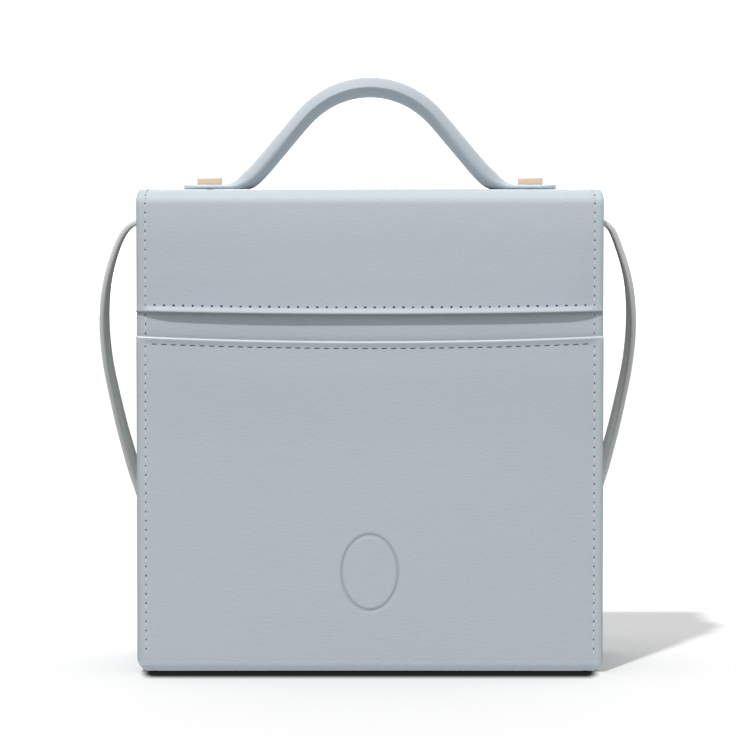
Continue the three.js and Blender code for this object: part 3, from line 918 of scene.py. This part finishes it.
def rivet_piece(side, name, node):
    """A rivet through the strap's tab and the gusset: a domed head, a shank and a flat tail.

    Each level is a circle. Over the head its radius follows a cosine and its place a sine.
    """
    tab_x = HALF_WIDTH - FLANGE + GAP + STRAP_THICK / 2
    head = tab_x + STRAP_THICK / 2 + GAP
    tail = HALF_WIDTH - FLANGE - GUSSET_LEATHER - GAP
    dome = np.linspace(0, quarter * 0.9, 7)
    levels = [
        (TAIL_RADIUS, tail - TAIL_THICK),
        (TAIL_RADIUS, tail),
        (SHANK, tail),
        (SHANK, head),
        (RIVET_RADIUS - 0.15, head),
        *((RIVET_RADIUS * math.cos(a), head + 0.3 + (RIVET_HEIGHT - 0.3) * math.sin(a)) for a in dome),
    ]
    rings = np.array([
        np.column_stack([np.full(24, side * x), round_ring(radius)]) for radius, x in levels
    ])
    rings[..., 2] += RIVET_Z
    piece = ringed_body(name, rings, [GOLD])
    crisp(piece, 35)
    dress(node)
    return piece


for word, side in (("left", -1), ("right", 1)):
    stud_piece(side, f"stud_{word}", f"handle_stud_{word}")
    rivet_piece(side, f"rivet_{word}", f"strap_rivet_{word}")


# Strap

# How the strap falls from its bend to the floor, as in the frame: shares of the height, of the
# way out to the widest point, of the way back, and of the quarter turn to lying flat.
FALL = np.array([
    # down, spread, back, turn
    (0.028, 0.835, 0.013, 0),
    (0.122, 0.955, 0.05, 0),
    (0.216, 1, 0.107, 0),
    (0.315, 0.99, 0.175, 0.01),
    (0.413, 0.94, 0.25, 0.03),
    (0.511, 0.873, 0.325, 0.05),
    (0.614, 0.78, 0.4, 0.09),
    (0.742, 0.61, 0.485, 0.3),
    (0.868, 0.43, 0.575, 0.62),
    (0.962, 0.24, 0.67, 0.9),
    (0.998, 0.08, 0.79, 1),
    (1, 0.005, 0.91, 1),
    (1, 0, 1, 1),
])


def centripetal(knots, per_span):
    """A centripetal Catmull-Rom curve through knots, with end tangents from mirrored knots.

    In each span the two inner slopes come from the neighbours, weighted by the square roots of
    the distances, and a cubic joins them.
    """
    full = np.vstack([2 * knots[0] - knots[1], knots, 2 * knots[-1] - knots[-2]])
    a, b, c, d = full[:-3], full[1:-2], full[2:-1], full[3:]
    root = [np.sqrt(np.linalg.norm(q - p, axis=1, keepdims=True)) for p, q in ((a, b), (b, c), (c, d))]
    before, span, after = root
    leave = ((b - a) / before - (c - a) / (before + span) + (c - b) / span) * span
    reach = ((c - b) / span - (d - b) / (span + after) + (d - c) / after) * span
    t = (np.arange(per_span) + 1)[None, :, None] / per_span
    b, c, leave, reach = (v[:, None, :] for v in (b, c, leave, reach))
    cubic = b + leave * t + (3 * c - 3 * b - 2 * leave - reach) * t**2
    cubic = cubic + (2 * b - 2 * c + leave + reach) * t**3
    return cubic.reshape(-1, 3)


def strap_side(side, per_span=8):
    """One side: the tab on the gusset, the tight bend over, and the fall to the floor."""
    tab_x = HALF_WIDTH - FLANGE + GAP + STRAP_THICK / 2
    bend_z = STRAP_BEND_TOP - STRAP_BEND
    tab = np.array([[tab_x, 0, bend_z - STRAP_TAB * share] for share in np.linspace(1, 0, 8)[:-1]])
    angle = np.linspace(0, STRAP_TURN, 22)
    bend = np.stack([
        tab_x + STRAP_BEND * (1 - np.cos(angle)),
        0 * angle,
        bend_z + STRAP_BEND * np.sin(angle),
    ], -1)
    start = bend[-1]
    down, spread, back, turn = FALL.T
    rest = STRAP_THICK / 2
    knots = np.stack([
        FLOOR_LOOP + (HALF_WIDTH + STRAP_REACH[side] - FLOOR_LOOP) * spread,
        back * (HALF_DEPTH + STRAP_BEHIND),
        start[2] + (rest - start[2]) * down,
    ], -1)
    fall = centripetal(np.vstack([start, knots]), per_span)
    fall[:, 2] = np.maximum(fall[:, 2], rest)
    turns = np.interp(np.arange(1, len(fall) + 1) / per_span, np.arange(len(knots) + 1), [0, *turn])
    points = np.vstack([tab, bend, fall]) * [side, 1, 1]
    s = distances(points)
    past_tab = s - STRAP_TAB
    points = eased(points, s, BEND_EASE, smooth(past_tab, -1, 9) * (1 - smooth(past_tab, 50, 90)))
    return points, np.concatenate([np.zeros(len(tab) + len(bend)), turns])


def strap_piece():
    """A slab with round sides carried along the strap, with a quarter twist on each side.

    The path runs down the left, round the floor loop and up the right. Its normal is a blend of
    the hanging way and straight up, by the cosine and sine of the turn. A point of the slab is
    the path's point plus the side way and the normal, each times its offset in the section.
    """
    left, left_turn = strap_side(-1)
    right, right_turn = strap_side(1)
    leg = (STRAP_LENGTH - distances(left)[-1] - distances(right)[-1] - np.pi * FLOOR_LOOP) / 2
    end = left[-1]
    angle = np.linspace(np.pi, 0, 48)
    loop = np.stack([
        FLOOR_LOOP * np.cos(angle),
        end[1] + leg + FLOOR_LOOP * np.sin(angle),
        np.full(48, end[2]),
    ], -1)
    legs = np.linspace(0, 1, 14)[1:-1, None]
    down = left[-1:] * (1 - legs) + loop[:1] * legs
    up = loop[-1:] * (1 - legs) + right[-1:] * legs
    path = np.vstack([left, down, loop, up, right[::-1]])
    flat = np.ones(len(down) + len(loop) + len(up))
    turn = np.concatenate([left_turn, flat, right_turn[::-1]])
    along = np.gradient(path, axis=0)
    along /= np.linalg.norm(along, axis=1, keepdims=True)

    def square_to(v):
        """The directions made square to the path and of length 1."""
        v = v - (v * along).sum(1, keepdims=True) * along
        return v / np.maximum(np.linalg.norm(v, axis=1, keepdims=True), 1e-6)

    hanging = np.cross([0.0, 1.0, 0.0], along)
    hanging /= np.maximum(np.linalg.norm(hanging, axis=1, keepdims=True), 1e-6)
    upright = square_to(np.tile([0.0, 0.0, 1.0], (len(path), 1)))
    yaw = STRAP_YAW * smooth(path[:, 1:2], 0, HALF_DEPTH / 2)
    hanging = hanging * np.cos(yaw) + np.array([0.0, 1.0, 0.0]) * np.sin(yaw)
    turned = turn[:, None] * quarter
    normal = square_to(hanging * np.cos(turned) + upright * np.sin(turned))
    across = np.cross(along, normal)
    ring = square_ring(1, 0.5, 6)
    signs = np.sign(ring)
    body = np.array([STRAP_WIDTH, STRAP_THICK]) / 2 - STRAP_CORNER
    outline = signs * body + (ring - signs * 0.5) * 2 * STRAP_CORNER
    flat_half = STRAP_WIDTH / 2 - STRAP_CORNER
    mark = smooth(np.abs(outline[:, 0]), flat_half - 0.1, STRAP_WIDTH / 2 - 0.3)
    rings = path[:, None, :] + across[:, None, :] * outline[None, :, :1]
    rings = rings + normal[:, None, :] * outline[None, :, 1:]
    side = np.tile(mark, (len(path), 1))
    # The back is darker as its flesh side, and painted shade deepens it towards the far edge.
    far = (1 + 2 * outline[:, 0] / STRAP_WIDTH) / 2
    back = smooth(-2 * outline[:, 1] / STRAP_THICK, 0.4, 1) * (0.25 + 0.75 * far)
    back = np.tile(back, (len(path), 1))
    piece = ringed_body("strap_band", rings, [STRAP_SKIN], None, {"side": side, "back": back})
    dress("strap")
    return piece


strap = strap_piece()


# Sewing

dice = np.random.default_rng(7)


def repeated(name, unit, unit_quads, centres, frames, material):
    """Copies of one small shape: every point is turned by its copy's frame and then moved."""
    points = np.einsum("pk,nkj->npj", unit, frames) + centres[:, None, :]
    count = len(centres)
    shift = (np.arange(count) * len(unit))[:, None, None]
    quads = (unit_quads[None, :, :] + shift).reshape(-1, 4)
    piece = mesh_piece(name, points.reshape(-1, 3), quads, [material])
    dress()
    return piece


def uneven(frames):
    """The frames, each made a little longer or shorter and wider or narrower by chance."""
    return frames * dice.uniform(0.82, 1.18, (len(frames), 3, 1))


def capsule(length, radius, flat=0.7, rings=6, sides=8):
    """A long drop: its radius follows a power of a sine along its length, flattened upwards."""
    turn = np.linspace(0.02, np.pi - 0.02, rings)
    angle = np.linspace(0, 2 * np.pi, sides, endpoint=False)
    r = radius * np.sin(turn)[:, None] ** 0.6
    points = np.stack([
        np.repeat(-length / 2 * np.cos(turn)[:, None], sides, 1),
        r * np.cos(angle),
        flat * r * np.sin(angle),
    ], -1).reshape(-1, 3)
    i = np.arange(rings - 1)[:, None] * sides
    j = np.arange(sides)[None, :]
    k = (j + 1) % sides
    quads = np.stack([i + j, i + k, i + sides + k, i + sides + j], -1).reshape(-1, 4)
    return points, outward(points, quads)


def seam(panel, s, share, slant=0.0):
    """Places and frames along a row on a panel: the row's direction, the side, the outward way."""
    centre = panel.place(s, share)
    ahead = np.gradient(centre, axis=0)
    ahead /= np.linalg.norm(ahead, axis=1, keepdims=True)
    _, _, ny, nz = panel.row(s)
    up = np.stack([0 * ny, ny, nz], -1)
    side = np.cross(up, ahead)
    side /= np.linalg.norm(side, axis=1, keepdims=True)
    turned = ahead * math.cos(slant) + side * math.sin(slant)
    return centre, np.stack([turned, np.cross(up, turned), up], 1)


def side_row(panel, first, last, half_at):
    """Stations of both side seams of a panel, one pitch apart."""
    s = np.arange(first, last, STITCH_PITCH)
    half = half_at(panel.row(s)[1])
    return s, (half - SEAM_INSET) / half


def across_row(inset, end_inset):
    """Shares of a row that runs from side to side, one pitch apart, centred."""
    reach = HALF_WIDTH - end_inset
    count = int(2 * reach / STITCH_PITCH)
    return np.full(count, inset), np.linspace(-reach, reach, count) / HALF_WIDTH


rows = []
for sign in (-1, 1):
    for panel, first, last, half_at in (
        (wrap, POCKET_SEAM + 1.2, wrap.length[-1] - 2, wrap_half),
        (cover, LIP_SEAM, cover.length[-1] - 2, flap_half),
    ):
        s, share = side_row(panel, first, last, half_at)
        upright = panel.row(s)[1] > FOLD
        s, share = s[upright], share[upright]
        rows.append(seam(panel, s, sign * share))
    band = np.arange(POCKET_Z + 1.6 - FOLD, LIP_Z - FOLD + 3, STITCH_PITCH)
    rows.append(seam(inner_wall, band, sign * np.full(len(band), 1 - SEAM_INSET / HALF_WIDTH)))
tail_s, tail_share = across_row(cover.length[-1] - 3.0, 7)
rows.append(seam(cover, tail_s, tail_share))
seam_places = np.concatenate([centre for centre, _ in rows])
seam_frames = np.concatenate([axes for _, axes in rows])
unit, unit_quads = capsule(STITCH_LENGTH, THREAD)
ahead, up = seam_frames[:, 0], seam_frames[:, 2]
thread_places = seam_places + ahead * STITCH_PITCH / 2 - up * 0.02
repeated("side_stitches", unit, unit_quads, thread_places, seam_frames, THREAD_SKIN)
dot, dot_quads = capsule(2 * HOLE, HOLE, HOLE_FLAT)
repeated("side_needle_holes", dot * 0.85, dot_quads, seam_places, uneven(seam_frames), HOLE_SKIN)

lip_s, lip_share = across_row(LIP_SEAM, SEAM_INSET + STITCH_PITCH)
lip_places, lip_frames = seam(cover, lip_s, lip_share)
repeated("lip_needle_holes", dot * 1.25, dot_quads, lip_places, uneven(lip_frames), HOLE_SKIN)

# The pocket's stitch dashes are dark capsules of painted shade in their sunk slits.
pocket_s, pocket_share = across_row(POCKET_SEAM, SEAM_INSET + STITCH_PITCH)
pocket_places, pocket_frames = seam(wrap, pocket_s, pocket_share, DASH_SLANT)
dash, dash_quads = capsule(DASH_LENGTH, DASH_RADIUS, HOLE_FLAT)
repeated("pocket_stitch_shade", dash, dash_quads, pocket_places, pocket_frames, HOLE_SKIN)


# Studio

FLOOR_GLOW = 0.06
BACKDROP_GLOW = 0.7
ROOM_LIGHT = 0.58
# The painted contact shadow under the bag: half its width, half its depth and how far back its middle is
PAINTED_SHADOW_HALF_WIDTH = 0.0875
PAINTED_SHADOW_HALF_DEPTH = 0.027
PAINTED_SHADOW_BACK = 0.01


def floor_finish():
    """Plain pale floor paper, lit a little from below, with a painted contact shadow round the bag."""
    finish = Finish("floor_paper")
    place = finish.position()
    cloud = finish.noise(place, 3.0, 2.0)
    x, y, _ = finish.axes(place)
    beside = finish.beyond(x, PAINTED_SHADOW_HALF_WIDTH) * 3.0
    before = finish.beyond(y + PAINTED_SHADOW_BACK, PAINTED_SHADOW_HALF_DEPTH)
    away = (beside * beside + before * before) ** 0.5
    fading = {"interpolation_type": "SMOOTHSTEP"}
    # Painted contact shadow: a dark core and a faint wider fringe, and the floor's glow fades out under
    # the core.
    near = finish.node("ShaderNodeMapRange", fading, [away, 0.008, 0.022, 0.995, 0.0])
    wide_painted_shadow = finish.node("ShaderNodeMapRange", fading, [away, 0.01, 0.06, 0.04, 0.0])
    colour = finish.mix(cloud * 0.1, (0.7, 0.7, 0.7), (0.68, 0.68, 0.68))
    colour = finish.mix(1.0 - (1.0 - near) * (1.0 - wide_painted_shadow), colour, (0.01, 0.01, 0.01))
    glow = finish.mix(near, (1, 1, 1), (0, 0, 0))
    return finish.done(
        Base_Color=colour, Roughness=0.9, Specular_IOR_Level=0.0,
        Emission_Color=glow, Emission_Strength=FLOOR_GLOW,
    )


def backdrop_finish():
    """White paper that glows, so that it stays white behind the bag."""
    finish = Finish("backdrop_paper")
    return finish.done(
        Base_Color=(0.9, 0.9, 0.9, 1), Emission_Color=(1, 1, 1, 1), Emission_Strength=BACKDROP_GLOW
    )


def flat_stage(name, corners, material):
    """One flat sheet of the studio, through its four corners."""
    mesh = bpy.data.meshes.new(name)
    mesh.from_pydata(corners, [], [(0, 1, 2, 3)])
    mesh.materials.append(material)
    sheet = bpy.data.objects.new(name, mesh)
    bpy.context.scene.collection.objects.link(sheet)
    return sheet


floor = flat_stage("floor", [(-6, -6, 0), (6, -6, 0), (6, 6, 0), (-6, 6, 0)], floor_finish())
floor.visible_diffuse = False
flat_stage("backdrop", [(-6, 4, -0.1), (6, 4, -0.1), (6, 4, 5), (-6, 4, 5)], backdrop_finish())


def lamp(name, kind, place, target, **settings):
    """A lamp at a place, turned towards its target."""
    data = bpy.data.lights.new(name, kind)
    for key, value in settings.items():
        setattr(data, key, value)
    light = bpy.data.objects.new(name, data)
    light.location = place
    light.rotation_euler = (Vector(target) - Vector(place)).to_track_quat("-Z", "Y").to_euler()
    bpy.context.scene.collection.objects.link(light)
    return light


lamp("key", "SUN", (-0.61, -1.43, 2.0), (0, 0, 0), energy=2.3, angle=math.radians(2.6))
lamp("overhead", "AREA", (-0.1, 0.1, 1.5), (0, 0, 0.1), energy=3.0, size=0.8)

world = bpy.data.worlds.new("studio")
bpy.context.scene.world = world
world.use_nodes = True
background = world.node_tree.nodes["Background"]
background.inputs["Color"].default_value = (1, 1, 1, 1)
background.inputs["Strength"].default_value = ROOM_LIGHT

CAMERA_HEIGHT = 0.2
CAMERA_DISTANCE = 1.5
CAMERA_SIDE = -0.0008
AIM_HEIGHT = 0.1249
PHOTO_PIXELS = 736
FOCAL_PIXELS = 3682
SENSOR = 36
FRONT_Y = -HALF_DEPTH / 1000
camera_data = bpy.data.cameras.new("camera")
camera_data.sensor_width = SENSOR
camera_data.lens = SENSOR * FOCAL_PIXELS / PHOTO_PIXELS
camera_data.clip_end = 50
camera = bpy.data.objects.new("camera", camera_data)
camera.location = (CAMERA_SIDE, FRONT_Y - CAMERA_DISTANCE, CAMERA_HEIGHT)
aim = Vector((CAMERA_SIDE, FRONT_Y, AIM_HEIGHT))
camera.rotation_euler = (aim - camera.location).to_track_quat("-Z", "Y").to_euler()
bpy.context.scene.collection.objects.link(camera)
bpy.context.scene.camera = camera
bpy.context.scene.view_settings.view_transform = "Standard"
